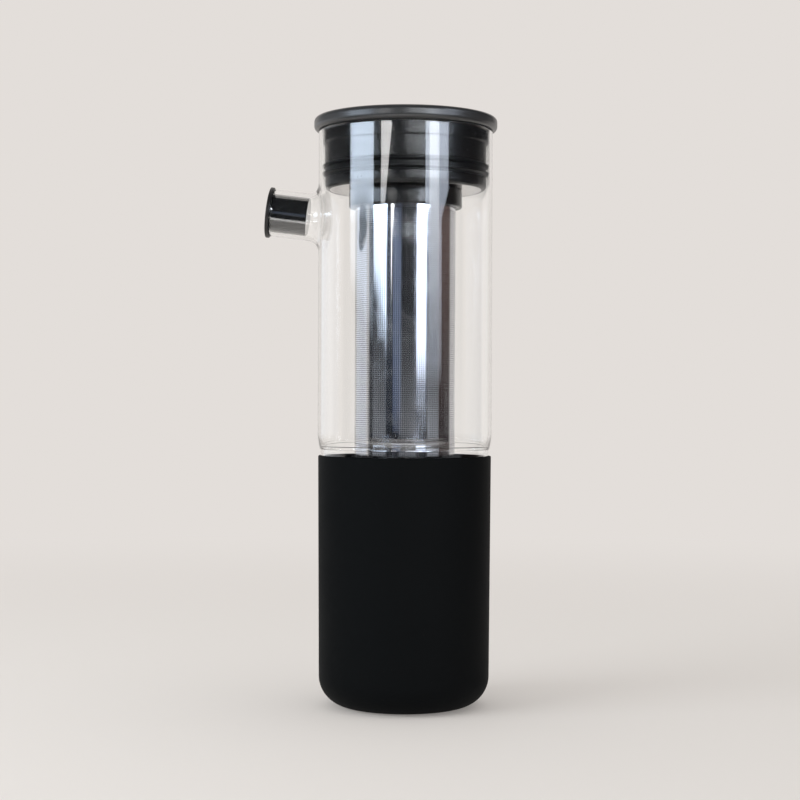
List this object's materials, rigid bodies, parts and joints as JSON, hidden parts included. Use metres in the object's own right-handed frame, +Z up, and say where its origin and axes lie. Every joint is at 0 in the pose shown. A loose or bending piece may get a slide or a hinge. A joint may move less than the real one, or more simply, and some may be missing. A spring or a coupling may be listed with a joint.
{
  "type": "iced tea pitcher",
  "caption": "Tall glass pitcher in a silicone sleeve, with a push-in lid that carries a perforated steel infuser, and a side spout closed by a push-in stopper.",
  "frame": {"origin": "centre of the flat base that the pitcher stands on", "axes": "+Z up along the vessel's axis, -X towards the spout"},
  "size_m": [0.1155, 0.091, 0.2917],
  "materials": {
    "silicone_sleeve": "matte black moulded silicone",
    "clear_glass": "clear blown glass, fire-polished rims",
    "lid_plastic": "satin black moulded plastic",
    "gloss_plastic": "glossy black moulded plastic",
    "silicone_seal": "smooth black silicone",
    "polished_steel": "polished stainless steel",
    "perforated_steel": "polished stainless sheet with a fine etched grid of holes",
    "stopper_plastic": "satin black moulded plastic"
  },
  "bodies": {
    "sleeve": {"silicone_sleeve": "silicone_sleeve"},
    "vessel": {"glass_body": "clear_glass"},
    "lid": {"lid_cover": "lid_plastic", "lid_plug": "gloss_plastic", "lid_gasket": "silicone_seal", "lid_base_plate": "polished_steel", "collar_o_ring": "silicone_seal"},
    "infuser": {"infuser_collar": "gloss_plastic", "infuser_tube": "perforated_steel", "infuser_foot_ring": "polished_steel", "infuser_screen": "perforated_steel"},
    "stopper": {"stopper_cap": "stopper_plastic", "stopper_seal": "silicone_seal"}
  },
  "joints": [
    {"name": "glass_lift", "type": "slide", "parent": "sleeve", "child": "vessel", "axis": [0, 0, 1], "range_m": [0, 0.14]},
    {"name": "lid_lift", "type": "slide", "parent": "vessel", "child": "lid", "axis": [0, 0, 1], "range_m": [0, 0.25]},
    {"name": "infuser_pull", "type": "slide", "parent": "lid", "child": "infuser", "axis": [0, 0, -1], "range_m": [0, 0.04]},
    {"name": "stopper_pull", "type": "slide", "parent": "vessel", "child": "stopper", "axis": [-0.9925, 0, 0.1219], "range_m": [0, 0.035]}
  ]
}
